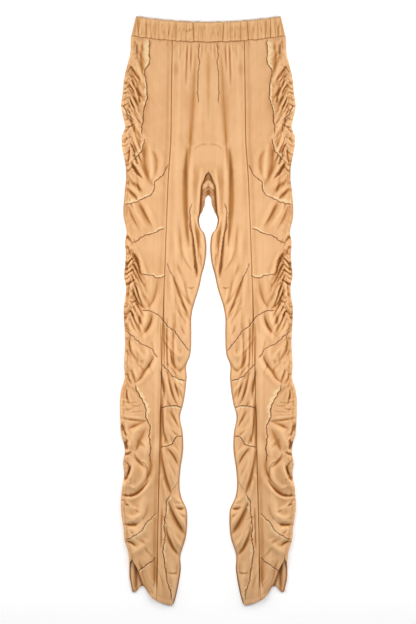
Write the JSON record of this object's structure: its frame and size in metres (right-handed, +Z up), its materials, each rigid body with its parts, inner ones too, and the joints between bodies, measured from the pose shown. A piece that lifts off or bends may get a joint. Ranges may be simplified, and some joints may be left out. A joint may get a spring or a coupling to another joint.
{
  "type": "flare leggings laid flat",
  "caption": "Ruched stretch leggings laid flat, front side up, with a gathered elastic waistband, a seam down each leg and a flared, slit hem.",
  "frame": {"origin": "under the middle of the garment, on the surface that its back lies on", "axes": "+X towards the wearer's left leg, +Y along the legs towards the waistband, +Z up out of the front of the garment"},
  "size_m": [0.3454, 1.148, 0.0137],
  "materials": {
    "waistband": "matt gathered jersey",
    "front_centre_left": "smooth jersey with a soft sheen",
    "front_side_left": "smooth jersey with a soft sheen",
    "back_left": "smooth jersey with a soft sheen",
    "front_centre_right": "smooth jersey with a soft sheen",
    "front_side_right": "smooth jersey with a soft sheen",
    "back_right": "smooth jersey with a soft sheen"
  },
  "bodies": {
    "root": {"waistband": "waistband", "front_centre_left": "front_centre_left", "front_side_left": "front_side_left", "back_left": "back_left", "front_centre_right": "front_centre_right", "front_side_right": "front_side_right", "back_right": "back_right"}
  },
  "joints": []
}
